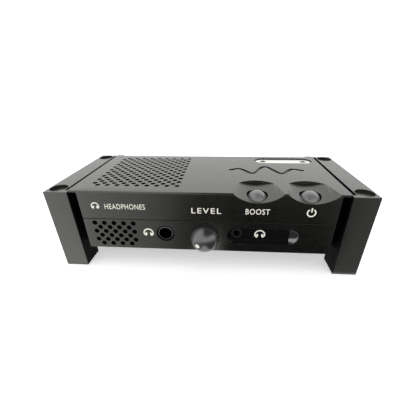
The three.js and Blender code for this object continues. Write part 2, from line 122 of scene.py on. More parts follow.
# Headphone sockets. RECESS is the small one's recess, given by the x of the middle of each round end.
LARGE_X = -20.7
LARGE_Z = 23.1
LARGE_FACE = 0.8
LARGE_NOSE = 4.3
LARGE_BORE = 3.25
LARGE_HALF = 6
LARGE_REAR = 30
SMALL_FACE = 2.5
SMALL_NOSE = 3
SMALL_BORE = 1.8
SMALL_HALF = (4.5, 4)
SMALL_REAR = 16
RECESS = (15.9, 42.4)
RECESS_Z = 22.8
RECESS_RADIUS = 4.4
RECESS_DEPTH = 2.2
RING_RADIUS = 4.8

# Badge plate, given by the x of the middle of each round end, and its two screws.
BADGE = (33.6, 59)
BADGE_Y = 53.2
BADGE_RADIUS = 4.7
BADGE_RECESS = 5.1
BADGE_BACKING = 6.1
BADGE_DEPTH = 1.8
BADGE_SINK = 0.65
BADGE_SCREWS = (33.7, 58.9)
BADGE_HOLE = 1.95
BADGE_HEAD = 1.65
BADGE_KEY = 0.75
BADGE_THREAD = 1.1

# Case screws, driven from below.
SCREW_YS = {"front": 12, "rear": 50}
SCREW_X = 60.5
SCREW_BOSS = 4.7
SCREW_HEAD = 3
SCREW_SHANK = 1.5
SCREW_SEAT = CASE_BOTTOM + 2.8
SCREW_TOP = 38
SCREW_KEY = 1.25

# Cheeks: feet with rubber pads, an arch between them, a pocket inside, and stacking recesses on top.
FOOT_BOTTOM = 0.15
FOOT_LENGTH = 12.9
FOOT_INSET = 6
ARCH_TOP = 8.5
PAD_RADIUS = 4
PAD_TOP = 1.5
POCKET_DEPTH = 2.4
POCKET_END = 2.5
POCKET_BOTTOM = 26
STACK_RADIUS = 4.3
STACK_DEPTH = 1.5
STACK_SIDE = 5.1
STACK_END = 5.5

# Rear panel and its sockets, all at one height.
PANEL_FRONT = 55.4
PANEL_REAR = 57.4
SOCKET_Z = 29.5
SOCKET_FRONT = 45
BOARD_TOP = 21.65
PHONO_X = {"input_left": 37, "input_right": 23.5, "output_left": 8.5, "output_right": -5}
PHONO_RADIUS = 4.15
PHONO_BORE = 3.3
PHONO_BODY = 4.6
PHONO_DEPTH = 7.5
PHONO_NUT = 5.3
SPEAKER_X = {"left_plus": -20, "left_minus": -30.5, "right_plus": -41, "right_minus": -51.5}
SPEAKER_RADIUS = 3.6
SPEAKER_BORE = 2.45
SPEAKER_FLANGE = 4.6
SPEAKER_REAR = 65.4
POWER_X = 50
POWER_RADIUS = 4
POWER_BORE = 2.9
POWER_HALF = (4.5, 5.2)

# Camera, from the same origin as the object.
CAMERA = (9.4567, -104.2156, 93.3381)
CAMERA_TURN = (1.0876968, 0.0123585, 0.0697744)
CAMERA_LENS = 21.2066

# Brightness of the surroundings, of the floor's own glow, and of the table card.
WORLD_FRONT = 1.15
WORLD_BACK = 1.4
FLOOR_GLOW = 0.4
BRIGHTEST_CARD = 1.35

# The scene's origin is in the middle of the object's length, and its unit is the metre.
MM = 0.001
FRONT_Y = (KNOB_RADIUS - KNOB_SINK - DEPTH) / 2
TO_SCENE = Matrix.Scale(MM, 4) @ Matrix.Translation((0, FRONT_Y, 0))

SIDES = {"left": -1, "right": 1}
SMOOTH_ANGLE = math.radians(33)

# Finish of the casing's outside, then the painted shade and painted highlight that cutters leave on their
# walls, in the order of their slots.
CUT_FINISHES_AND_PAINTED_LIGHT = ("anodised_black", "bore", "recess_painted_shade", "scoop_painted_highlight")


# ---------------------------------------------------------------- mesh tools

def mesh_object(bm):
    """Turns a bmesh into an object in the scene."""
    bmesh.ops.recalc_face_normals(bm, faces=bm.faces)
    mesh = bpy.data.meshes.new("shape")
    bm.to_mesh(mesh)
    bm.free()
    made = bpy.data.objects.new("shape", mesh)
    bpy.context.scene.collection.objects.link(made)
    return made


def loft(rings):
    """Closed skin over rings of points; a ring of one point closes that end."""
    bm = bmesh.new()
    made = [[bm.verts.new(point) for point in ring] for ring in rings]
    for near, far in zip(made, made[1:]):
        count = max(len(near), len(far))
        for i in range(count):
            j = (i + 1) % count
            corners = [near[i % len(near)], near[j % len(near)], far[j % len(far)], far[i % len(far)]]
            bm.faces.new(list(dict.fromkeys(corners)))
    for end in (made[0], made[-1]):
        if len(end) > 1:
            bm.faces.new(end)
    return mesh_object(bm)


def spot(axis, level, a, b):
    """A point at `level` on one axis, with a and b on the other two in x, y, z order."""
    return {"x": (level, a, b), "y": (a, level, b), "z": (a, b, level)}[axis]


def arc(a, b, radius, start, end, steps):
    """Points on an arc round (a, b), from `start` to `end` degrees."""
    turns = [math.radians(start + (end - start) * i / steps) for i in range(steps + 1)]
    return [(a + radius * math.cos(turn), b + radius * math.sin(turn)) for turn in turns]


def bar(a0, a1, b, radius, steps=20):
    """Outline with round ends, centred on the line from a0 to a1. An outline is a function of its inset."""
    return lambda inset: (arc(a1, b, radius - inset, -90, 90, steps)
                          + arc(a0, b, radius - inset, 90, 270, steps))


def block(a0, a1, b0, b1):
    """Rectangular outline."""
    return lambda inset: [(a0 + inset, b0 + inset), (a1 - inset, b0 + inset),
                          (a1 - inset, b1 - inset), (a0 + inset, b1 - inset)]


def prism(axis, outline, *levels):
    """Solid through (level, inset) pairs of one outline."""
    return loft([[spot(axis, level, a, b) for a, b in outline(inset)] for level, inset in levels])


def box(x0, x1, y0, y1, z0, z1):
    return prism("z", block(min(x0, x1), max(x0, x1), y0, y1), (z0, 0), (z1, 0))


def turned(axis, across, profile, sides=64):
    """Turned solid on an axis through `across`, from (level, radius) pairs."""
    rings = []
    for level, radius in profile:
        flat = arc(*across, radius, 0, 360, sides)[:-1] if radius else [across]
        rings.append([spot(axis, level, a, b) for a, b in flat])
    return loft(rings)


def rod(axis, radius, start, end, across, edge=0.0, sides=48):
    """Cylinder with both ends chamfered by `edge`."""
    way = math.copysign(1, end - start)
    if not edge:
        return turned(axis, across, [(start, radius), (end, radius)], sides)
    return turned(axis, across, [
        (start, radius - edge), (start + way * edge, radius),
        (end - way * edge, radius), (end, radius - edge)], sides)


def drill(axis, radius, bottom, mouth, across, rim=FINE_EDGE, sides=24):
    """Cutter for a round hole whose mouth has a small chamfer."""
    way = math.copysign(1, mouth - bottom)
    return turned(axis, across, [
        (bottom, radius), (mouth - way * rim, radius),
        (mouth, radius + rim), (mouth + way, radius + rim)], sides)


def settle(shape):
    """Applies the modifiers on a shape."""
    graph = bpy.context.evaluated_depsgraph_get()
    before = shape.data
    shape.data = bpy.data.meshes.new_from_object(shape.evaluated_get(graph))
    shape.modifiers.clear()
    bpy.data.meshes.remove(before)
    return shape


def combine(shape, tools, operation):
    """Boolean of a shape with all its tools at once. The tools are used up."""
    group = bpy.data.collections.new("tools")
    for tool in tools:
        group.objects.link(tool)
    modifier = shape.modifiers.new("combine", "BOOLEAN")
    modifier.operation = operation
    modifier.solver = "MANIFOLD"
    modifier.operand_type = "COLLECTION"
    modifier.collection = group
    settle(shape)
    for tool in tools:
        bpy.data.objects.remove(tool)
    bpy.data.collections.remove(group)
    return shape


def join(shape, *tools):
    return combine(shape, tools, "UNION")


def cut(shape, *tools):
    return combine(shape, tools, "DIFFERENCE")


def soften(shape, width, segments=2):
    """Rounds the sharp edges of a shape."""
    bm = bmesh.new()
    bm.from_mesh(shape.data)
    bmesh.ops.dissolve_limit(bm, angle_limit=math.radians(0.5), verts=bm.verts, edges=bm.edges)
    bm.to_mesh(shape.data)
    bm.free()
    modifier = shape.modifiers.new("soften", "BEVEL")
    modifier.limit_method = "ANGLE"
    modifier.angle_limit = math.radians(30)
    modifier.width = width
    modifier.segments = segments
    return settle(shape)


def finished(shape, finish="anodised_black"):
    """Gives a casing shape its finish. On a cutter, this is the finish, painted shade or painted highlight of
    the walls it leaves.
    """
    shape.data.materials.clear()
    for name in CUT_FINISHES_AND_PAINTED_LIGHT:
        shape.data.materials.append(finishes_and_painted_light[name])
    index = CUT_FINISHES_AND_PAINTED_LIGHT.index(finish)
    shape.data.polygons.foreach_set("material_index", [index] * len(shape.data.polygons))
    return shape


# Gives a cutter's walls the painted shade.
def bored(tool):
    return finished(tool, "bore")


def add_piece(name, shape, finish, body="chassis", stands_for=()):
    """Puts a shape in its final place, in metres, with its name, its material and its body."""
    shape.data.transform(TO_SCENE)
    shape.data.shade_smooth()
    shape.data.set_sharp_from_angle(angle=SMOOTH_ANGLE)
    modifier = shape.modifiers.new("normals", "WEIGHTED_NORMAL")
    modifier.keep_sharp = True
    settle(shape)
    shape.name = name
    shape.data.name = name
    if finish != "anodised_black":
        shape.data.materials.clear()
        shape.data.materials.append(finishes_and_painted_light[finish])
    elif len(shape.data.materials) < len(CUT_FINISHES_AND_PAINTED_LIGHT):
        finished(shape)
    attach(shape, body)
    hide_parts(*stands_for)


def both_sides(x, ys, make):
    """What `make` gives for each y on the left and on the right."""
    return [make(side * x, y) for side in SIDES.values() for y in ys]


# ---------------------------------------------------------------- materials

def surface(name, dark, light, roughness, metallic=0.0, cloud=0.004, grain=0.00018, bump=0.05, **fixed):
    """Principled surface: colour and roughness wander over `cloud` metres, and a bump of `grain` metres
    gives the fine texture. `fixed` sets shader sockets directly."""
    made = bpy.data.materials.new(name)
    made.use_nodes = True
    nodes = made.node_tree.nodes
    links = made.node_tree.links
    shader = nodes["Principled BSDF"]
    shader.inputs["Metallic"].default_value = metallic
    for socket, value in fixed.items():
        shader.inputs[socket.replace("_", " ")].default_value = value
    place = nodes.new("ShaderNodeTexCoord")

    def noise(size, detail):
        texture = nodes.new("ShaderNodeTexNoise")
        texture.inputs["Scale"].default_value = 1 / size
        texture.inputs["Detail"].default_value = detail
        links.new(place.outputs["Object"], texture.inputs["Vector"])
        return texture.outputs["Fac"]

    wander = noise(cloud, 4)
    blend = nodes.new("ShaderNodeMix")
    blend.data_type = "RGBA"
    blend.inputs["A"].default_value = (*dark, 1)
    blend.inputs["B"].default_value = (*light, 1)
    links.new(wander, blend.inputs["Factor"])
    links.new(blend.outputs["Result"], shader.inputs["Base Color"])

    shine = nodes.new("ShaderNodeMapRange")
    shine.inputs["To Min"].default_value = roughness[0]
    shine.inputs["To Max"].default_value = roughness[1]
    links.new(wander, shine.inputs["Value"])
    links.new(shine.outputs["Result"], shader.inputs["Roughness"])

    relief = nodes.new("ShaderNodeBump")
    relief.inputs["Strength"].default_value = bump
    relief.inputs["Distance"].default_value = grain
    links.new(noise(grain, 2), relief.inputs["Height"])
    links.new(relief.outputs["Normal"], shader.inputs["Normal"])
    return made


def grey(value):
    return (value, value, value)


finishes_and_painted_light = {
    "anodised_black": surface("anodised_black", (0.0032, 0.0034, 0.0028), (0.0055, 0.0057, 0.0047),
                              (0.25, 0.31), bump=0.15, IOR=1.8, Specular_Tint=(1, 1, 0.94, 1)),
    # Painted shade: near-black, dull walls for holes, slots, pockets and the cheeks' inner faces, where
    # shadow falls.
    "bore": surface("bore", grey(0.001), grey(0.002), (0.7, 0.8), Specular_IOR_Level=0.1),
    # Painted shade: the casing's black with weaker reflection, so the small socket's recess reads black.
    "recess_painted_shade": surface("recess_painted_shade", grey(0.003), grey(0.005), (0.2, 0.25)),
    # Painted highlight: a lighter, more reflective copy of the casing's black, which lights up the recess's
    # rounded right end.
    "scoop_painted_highlight": surface("scoop_painted_highlight", grey(0.02), grey(0.03), (0.15, 0.2), bump=0.02, IOR=2.6),
    "polished_black": surface("polished_black", grey(0.02), grey(0.03), (0.27, 0.31), bump=0.02, IOR=2.1),
    # Painted highlight: a grey ring for the light that the rim of the large socket's bore catches.
    "collar_painted_highlight": surface("collar_painted_highlight", grey(0.06), grey(0.09), (0.35, 0.45), bump=0.05, IOR=1.8),
    "nickel": surface("nickel", (0.74, 0.72, 0.66), (0.82, 0.8, 0.74), (0.22, 0.32), metallic=1, bump=0.04),
    "steel": surface("steel", grey(0.5), grey(0.58), (0.25, 0.38), metallic=1),
    "black_steel": surface("black_steel", grey(0.01), grey(0.02), (0.3, 0.42), IOR=2.0),
    "bare_aluminium": surface("bare_aluminium", grey(0.6), grey(0.68), (0.3, 0.42), metallic=1),
    "gold_plate": surface("gold_plate", (0.78, 0.52, 0.2), (0.86, 0.62, 0.28), (0.16, 0.26), metallic=1),
    "rubber": surface("rubber", grey(0.012), grey(0.022), (0.75, 0.9), grain=0.0003, bump=0.3),
    "black_plastic": surface("black_plastic", grey(0.008), grey(0.014), (0.35, 0.45), bump=0.1),
    "red_plastic": surface("red_plastic", (0.4, 0.015, 0.012), (0.5, 0.025, 0.02), (0.3, 0.4)),
    "frosted_ball": surface("frosted_ball", (0.10, 0.105, 0.10), (0.15, 0.155, 0.15), (0.12, 0.2),
                            cloud=0.003, bump=0.01, Coat_Weight=0.6, Coat_Roughness=0.08),
    "clear_plastic": surface("clear_plastic", grey(0.7), grey(0.8), (0.1, 0.2), Transmission_Weight=0.8),
    "white_plastic": surface("white_plastic", grey(0.6), grey(0.7), (0.3, 0.4)),
    "circuit_board": surface("circuit_board", (0.01, 0.06, 0.03), (0.02, 0.11, 0.05), (0.3, 0.5),
                             cloud=0.0015),
    "capacitor_sleeve": surface("capacitor_sleeve", (0.01, 0.012, 0.03), (0.02, 0.024, 0.05),
                                (0.2, 0.3)),
    "label_ink": surface("label_ink", (0.68, 0.66, 0.58), (0.74, 0.72, 0.64), (0.5, 0.6),
                         grain=0.00008, bump=0.2),
}


# ---------------------------------------------------------------- casing

def case_plan(notch):
    """Outline of the casing from above: front corners cut back by `notch`, and a recessed rear middle."""
    right = [(FRONT_HALF, 0), (FRONT_HALF, notch), (CASE_HALF, notch),
             (CASE_HALF, END_REAR), (FRONT_HALF, END_REAR), (FRONT_HALF, MIDDLE_REAR)]
    left = [(-x, y) for x, y in reversed(right)]
    return lambda inset: right + left


def paint_slot_shade(shell):
    """Paints shade on the walls of the front corner slots, with the near-black painted shade material."""
    # Painted shade: these slot walls lie in shadow between the case and the cheeks.
    for face in shell.data.polygons:
        x, y, z = face.center
        if abs(x) > FRONT_HALF - 0.05 and 0.3 < y < SLOT_DEPTH + 0.2 and z < LIP_BOTTOM:
            face.material_index = CUT_FINISHES_AND_PAINTED_LIGHT.index("bore")


def hollow(shell, front, bottom, top):
    """Opens a shell from behind, in two widths that leave an even wall round the front corners."""
    return cut(
        shell,
        box(WALL - FRONT_HALF, FRONT_HALF - WALL, front, DEPTH, bottom, top),
        box(-INNER_HALF, INNER_HALF, SLOT_DEPTH + WALL, DEPTH, bottom, top),
    )


def grille_spots(grille):
    """(across, along) of every hole in a staggered grille."""
    columns, shifted_columns, pitch = grille["columns"], grille["shifted_columns"], grille["pitch"]
    shift = -pitch / 2 if shifted_columns == columns else pitch / 2
    first = grille["centre"] - (columns - 1) * pitch / 2
    for row in range(grille["rows"]):
        shifted = row % 2
        for column in range(shifted_columns if shifted else columns):
            yield first + column * pitch + shifted * shift, grille["first"] + row * grille["row_step"]


def dish_floor(y):
    return CASE_TOP - DISH_DEPTH + y * math.tan(DISH_TILT)


def dish(x):
    """Cutter for a button's scallop: a tilted cylinder for the floor within an upright rear wall."""
    floor = rod("y", DISH_FLOOR_RADIUS, -40, 40, (0, 0), sides=360)
    floor.data.transform(
        Matrix.Translation((x, 0, dish_floor(0) + DISH_FLOOR_RADIUS / math.cos(DISH_TILT)))
        @ Matrix.Rotation(DISH_TILT, 4, "X"))
    centre = DISH_REAR - DISH_WALL_RADIUS
    plan = arc(x, centre, DISH_WALL_RADIUS, 0, 180, 60)
    plan += [(x - DISH_WALL_RADIUS, -5), (x + DISH_WALL_RADIUS, -5)]
    reach = prism("z", lambda inset: plan, (GUIDE_BOTTOM, 0), (CASE_TOP + 4, 0))
    return finished(combine(floor, [reach], "INTERSECT"))


def wave_cutter():
    """Engraved wave: one stroke of even width that swings widest in its middle."""
    left, right, middle = 11.5, 54.5, 34
    swing, waves, half_stroke, depth = 6.5, 2.5, 1.1, 0.7
    steps = 160
    path = []
    for i in range(steps + 1):
        along = i / steps
        swell = math.sin(math.pi * along)
        path.append(Vector((left + (right - left) * along,
                            middle + swing * swell * math.sin(along * waves * 2 * math.pi))))
    near, far = [], []
    for i, point in enumerate(path):
        ahead = path[min(i + 1, steps)] - path[max(i - 1, 0)]
        across = Vector((-ahead.y, ahead.x)).normalized() * half_stroke
        near.append(point + across)
        far.append(point - across)
    outline = [tuple(point) for point in near + far[::-1]]
    return prism("z", lambda inset: outline, (CASE_TOP - depth, 0), (CASE_TOP + 0.5, 0))


def make_top_cover():
    shell = join(
        prism("z", case_plan(SLOT_DEPTH), (UPPER_BOTTOM, 0), (LIP_BOTTOM, 0)),
        prism("z", case_plan(EDGE_CHAMFER), (LIP_BOTTOM, 0), (CASE_TOP, 0)),
    )
    corner = [(-1, CASE_TOP - EDGE_CHAMFER - 1), (EDGE_CHAMFER + 1, CASE_TOP + 1), (-1, CASE_TOP + 1)]
    cut(shell, prism("x", lambda inset: corner, (-HALF_WIDTH, 0), (HALF_WIDTH, 0)))
    soften(finished(shell), FINE_EDGE)
    paint_slot_shade(shell)
    hollow(shell, UPPER_FRONT, PARTING - 5, CEILING)
    join(
        shell,
        box(GUIDE_LEFT, FRONT_HALF - 1, UPPER_FRONT - 1, GUIDE_REAR, GUIDE_BOTTOM, CEILING + 1),
        prism("z", bar(*BADGE, BADGE_Y, BADGE_BACKING), (CEILING - 1.6, 0), (CEILING + 1, 0)),
    )
    # Painted shade on the walls of the grille holes and of the ball wells.
    grille = [bored(drill("z", TOP_GRILLE["radius"], CEILING - 1, CASE_TOP, spot_on_top, rim=GRILLE_EDGE))
              for spot_on_top in grille_spots(TOP_GRILLE)]
    wells = [bored(rod("z", BALL_RADIUS + GAP, GUIDE_BOTTOM - 1, CASE_TOP, (x, BALL_Y), sides=96))
             for x in BALL_X.values()]
    seats = [rod("z", BADGE_THREAD, CASE_TOP - BADGE_DEPTH - 1.3, CASE_TOP, (x, BADGE_Y))
             for x in BADGE_SCREWS]
    badge_rim = prism("z", bar(*BADGE, BADGE_Y, BADGE_RECESS, 32), (CASE_TOP - BADGE_DEPTH, 0),
                      (CASE_TOP - FINE_EDGE, 0), (CASE_TOP, -FINE_EDGE), (CASE_TOP + 1, -FINE_EDGE))
    cut(shell, *[dish(x) for x in BALL_X.values()])
    cut(shell, *grille, *wells, *seats, badge_rim, wave_cutter())
    add_piece("top_cover_shell", shell, "anodised_black", stands_for=["top_cover"])


def recess_cutters():
    """Channel of the small socket's recess, square at its right end, and the scoop that rounds that end."""
    left, right = RECESS
    low, high = RECESS_Z - RECESS_RADIUS, RECESS_Z + RECESS_RADIUS
    plan = arc(left, RECESS_Z, RECESS_RADIUS, 90, 270, 32) + [(right, low), (right, high)]
    channel = prism("y", lambda inset: plan, (RECESS_DEPTH, 0), (-1, 0))
    turns = [math.pi / 2 * i / 16 for i in range(17)]
    scoop = turned("y", (right, RECESS_Z),
                   [(-1, 0), (-1, RECESS_RADIUS)]
                   + [(RECESS_DEPTH * math.sin(turn), RECESS_RADIUS * math.cos(turn)) for turn in turns[:-1]]
                   + [(RECESS_DEPTH, 0)])
    # The channel gets painted shade and the scoop a painted highlight.
    return [finished(channel, "recess_painted_shade"), finished(scoop, "scoop_painted_highlight")]


def make_bottom_case():
    shell = prism("z", case_plan(SLOT_DEPTH), (CASE_BOTTOM, 0), (LOWER_TOP, 0))
    soften(finished(shell), FINE_EDGE)
    paint_slot_shade(shell)
    hollow(shell, LOWER_FRONT, FLOOR_TOP, CASE_TOP)
    join(shell, *both_sides(SCREW_X, SCREW_YS.values(), lambda x, y: (
        rod("z", SCREW_BOSS, FLOOR_TOP - 1, LOWER_TOP, (x, y)))))
    # Painted shade on the walls of the front grille's holes.
    grille = [bored(drill("y", FRONT_GRILLE["radius"], LOWER_FRONT + 1, 0, spot_on_front, rim=GRILLE_EDGE))
              for spot_on_front in grille_spots(FRONT_GRILLE)]
    # Socket holes, the nut recess, the bushing hole and the recess ring get painted shade; the recess's
    # rounded end gets a painted highlight.
    cut(
        shell,
        *grille,
        bored(drill("y", LARGE_NOSE + GAP, LOWER_FRONT + 1, 0, (LARGE_X, LARGE_Z), rim=0.06, sides=64)),
        *recess_cutters(),
        finished(drill("y", RING_RADIUS, RECESS_DEPTH + 0.2, 0, (RECESS[0], RECESS_Z), sides=64),
                 "recess_painted_shade"),
        bored(rod("y", SMALL_NOSE + GAP, -1, LOWER_FRONT + 1, (RECESS[0], RECESS_Z))),
        bored(drill("y", NUT_RECESS, NUT_DEPTH, 0, (KNOB_X, KNOB_Z), sides=64)),
        bored(rod("y", BUSHING_HOLE, -1, LOWER_FRONT + 1, (KNOB_X, KNOB_Z))),
        *both_sides(SCREW_X, SCREW_YS.values(), lambda x, y: (
            drill("z", SCREW_HEAD + GAP, SCREW_SEAT + GAP, CASE_BOTTOM, (x, y), sides=48))),
        *both_sides(SCREW_X, SCREW_YS.values(), lambda x, y: (
            rod("z", SCREW_SHANK + GAP, 0, PARTING + 1, (x, y)))),
    )
    add_piece("bottom_case_shell", shell, "anodised_black", stands_for=["bottom_case"])


# ---------------------------------------------------------------- cheeks and feet

def make_cheek(side_name, side):
    outline = [(0, FOOT_BOTTOM), (FOOT_LENGTH, FOOT_BOTTOM), (FOOT_LENGTH, ARCH_TOP),
               (DEPTH - FOOT_LENGTH, ARCH_TOP), (DEPTH - FOOT_LENGTH, FOOT_BOTTOM),
               (DEPTH, FOOT_BOTTOM), (DEPTH, CHEEK_TOP), (0, CHEEK_TOP)]
    inner = side * CHEEK_INNER
    outer = side * HALF_WIDTH
    cheek = prism("x", lambda inset: outline, (inner, 0), (outer, 0))
    soften(finished(cheek), CHEEK_EDGE, 3)
    # Painted shade: the inner face, in shadow beside and under the case, gets the near-black painted shade
    # material.
    for face in cheek.data.polygons:
        if abs(face.center.x - inner) < 0.02:
            face.material_index = CUT_FINISHES_AND_PAINTED_LIGHT.index("bore")
    # The pocket's walls get painted shade.
    cut(
        cheek,
        bored(box(inner - side, inner + side * POCKET_DEPTH, POCKET_END, DEPTH - POCKET_END,
                  POCKET_BOTTOM, CHEEK_TOP + 1)),
        *[drill("z", STACK_RADIUS, CHEEK_TOP - STACK_DEPTH, CHEEK_TOP, (outer - side * STACK_SIDE, y),
                sides=64)
          for y in (STACK_END, DEPTH - STACK_END)],
        *[rod("z", PAD_RADIUS + GAP, PAD_TOP + GAP, -1, ((inner + outer) / 2, y))
          for y in (FOOT_INSET, DEPTH - FOOT_INSET)],
    )
    add_piece(f"{side_name}_cheek_plate", cheek, "anodised_black", stands_for=[f"{side_name}_cheek"])
    for end, y in (("front", FOOT_INSET), ("rear", DEPTH - FOOT_INSET)):
        pad = turned("z", ((inner + outer) / 2, y), [
            (0.1, 0), (0.1, 2.4), (0, 2.8), (0, PAD_RADIUS - 0.3), (0.1, PAD_RADIUS - 0.1),
            (0.3, PAD_RADIUS), (PAD_TOP, PAD_RADIUS), (PAD_TOP, 0)])
        add_piece(f"{end}_{side_name}_pad", pad, "rubber", stands_for=[f"{end}_{side_name}_foot_pad"])


# ---------------------------------------------------------------- screws and badge

def socket_screw(across, top, seat, radius, key):
    """Cap screw head facing up, with a hexagonal key hole."""
    head = rod("z", radius, seat, top, across, edge=0.2)
    return cut(head, turned("z", across, [(seat + 0.4, key), (top + 1, key)], sides=6))


def make_badge():
    bottom, top, edge = CASE_TOP - BADGE_DEPTH + GAP, CASE_TOP - BADGE_SINK, 0.2
    plate = prism("z", bar(*BADGE, BADGE_Y, BADGE_RADIUS, 32), (bottom, 0), (top - edge, 0),
                  (top - 0.3 * edge, 0.3 * edge), (top, edge))
    cut(plate, *[drill("z", BADGE_HOLE, bottom - 1, top, (x, BADGE_Y), sides=48) for x in BADGE_SCREWS])
    add_piece("badge_stadium", plate, "nickel", stands_for=["badge_plate"])
    for index, x in enumerate(BADGE_SCREWS, 1):
        screw = socket_screw((x, BADGE_Y), top, CASE_TOP - BADGE_DEPTH + 0.05, BADGE_HEAD, BADGE_KEY)
        add_piece(f"badge_screw_head_{index}", screw, "black_steel", stands_for=[f"badge_screw_{index}"])


# ---------------------------------------------------------------- controls

def dome(centre, radius, cut_level, way, steps=40):
    """(level, radius) pairs of a ball from `cut_level` to its pole in direction `way`."""
    start = math.asin((cut_level - centre) * way / radius)
    turns = [start + (math.pi / 2 - start) * i / steps for i in range(steps)]
    return ([(cut_level, 0)]
            + [(centre + way * radius * math.sin(turn), radius * math.cos(turn)) for turn in turns]
            + [(centre + way * radius, 0)])


def make_knob():
    ball = turned("y", (KNOB_X, KNOB_Z), dome(KNOB_SINK, KNOB_RADIUS, -KNOB_BACK, -1), 128)
    cut(
        ball,
        rod("y", KNOB_BORE, KNOB_BORE_END, 1, (KNOB_X, KNOB_Z)),
        rod("z", GRUB_RADIUS + GAP, KNOB_Z - KNOB_RADIUS - 1, KNOB_Z, (KNOB_X, GRUB_Y)),
    )
    add_piece("knob_dome", ball, "polished_black", "volume", ["volume_knob"])
    end = KNOB_Z - GRUB_REACH
    grub = cut(
        rod("z", GRUB_RADIUS, end, KNOB_Z - KNOB_BORE, (KNOB_X, GRUB_Y), edge=0.15, sides=32),
        rod("z", GRUB_RADIUS / 2, end - 0.4, end + 1, (KNOB_X, GRUB_Y), sides=6),
    )
    add_piece("grub_screw_socket", grub, "black_steel", "volume", ["knob_grub_screw"])


def make_knob_dot():
    """Painted position mark: a thin cap of the knob's own curve, off its axis."""
    edge = KNOB_RADIUS * math.cos(math.asin(DOT_RADIUS / KNOB_RADIUS))
    cap = turned("y", (0, 0), dome(0, KNOB_RADIUS + INK_HEIGHT, -edge, -1, 10), 32)
    forward = math.sqrt(KNOB_RADIUS ** 2 - DOT_OFF_AXIS ** 2)
    towards = Vector((DOT_OFF_AXIS * math.cos(DOT_ANGLE), -forward, DOT_OFF_AXIS * math.sin(DOT_ANGLE)))
    turn = Vector((0, -1, 0)).rotation_difference(towards).to_matrix().to_4x4()
    cap.data.transform(Matrix.Translation((KNOB_X, KNOB_SINK, KNOB_Z)) @ turn)
    add_piece("knob_dot", cap, "label_ink", "volume")


def make_button(name, x):
    centre = dish_floor(BALL_Y) - BALL_SINK
    ball = turned("z", (x, BALL_Y), dome(centre, BALL_RADIUS, centre - BALL_CUT, 1), 96)
    add_piece(f"{name}_ball", ball, "frosted_ball", f"{name}_button", [f"{name}_button"])


# ---------------------------------------------------------------- front sockets

def make_large_socket():
    at = (LARGE_X, LARGE_Z)
    body = join(
        box(LARGE_X - LARGE_HALF, LARGE_X + LARGE_HALF, LOWER_FRONT + GAP, LARGE_REAR,
            LARGE_Z - LARGE_HALF, LARGE_Z + LARGE_HALF),
        turned("y", at, [(LARGE_FACE, LARGE_NOSE - 0.3), (LARGE_FACE + 0.3, LARGE_NOSE),
                         (LOWER_FRONT + 1, LARGE_NOSE)]),
    )
    cut(body, rod("y", LARGE_BORE, -1, LARGE_REAR - 2, at, sides=64))
    add_piece("large_socket_body", body, "black_plastic", stands_for=["large_headphone_socket"])
    # Painted highlight: the collar is a lighter grey ring for the light the bore's rim catches.
    front, rear = 0.2, LARGE_FACE - 0.05
    collar = turned("y", at, [
        (front, LARGE_BORE + 0.2), (front + 0.1, LARGE_BORE + 0.45), (rear, LARGE_BORE + 0.5),
        (rear, LARGE_BORE), (front + 0.2, LARGE_BORE), (front, LARGE_BORE + 0.15), (front, LARGE_BORE + 0.2)])
    add_piece("large_socket_collar", collar, "collar_painted_highlight")


def make_small_socket():
    x, z = RECESS[0], RECESS_Z
    half_x, half_z = SMALL_HALF
    at = (x, z)
    body = join(
        box(x - half_x, x + half_x, LOWER_FRONT + GAP, SMALL_REAR, z - half_z, z + half_z),
        turned("y", at, [(SMALL_FACE, SMALL_NOSE - 0.2), (SMALL_FACE + 0.2, SMALL_NOSE),
                         (LOWER_FRONT + 1, SMALL_NOSE)]),
    )
    cut(body, rod("y", SMALL_BORE, 0, SMALL_REAR - 1, at, sides=48))
    add_piece("small_socket_body", body, "black_plastic", stands_for=["small_headphone_socket"])


# ---------------------------------------------------------------- rear panel and sockets

def make_rear_panel():
    panel = prism("y", block(GAP - INNER_HALF, INNER_HALF - GAP, FLOOR_TOP + GAP, CEILING - GAP),
                  (PANEL_FRONT, 0), (PANEL_REAR, 0))
    soften(panel, 0.1)
    holes = [(x, PHONO_RADIUS + GAP) for x in PHONO_X.values()]
    holes += [(x, SPEAKER_RADIUS + GAP) for x in SPEAKER_X.values()]
    holes.append((POWER_X, POWER_RADIUS + GAP))
    cut(
        panel,
        *[drill("y", radius, PANEL_FRONT - 1, PANEL_REAR, (x, SOCKET_Z), sides=48) for x, radius in holes],
        prism("z", bar(*BADGE, BADGE_Y, BADGE_BACKING + GAP), (CEILING - 1.9, 0), (CEILING, 0)),
    )
    add_piece("rear_plate", panel, "anodised_black", stands_for=["rear_panel"])


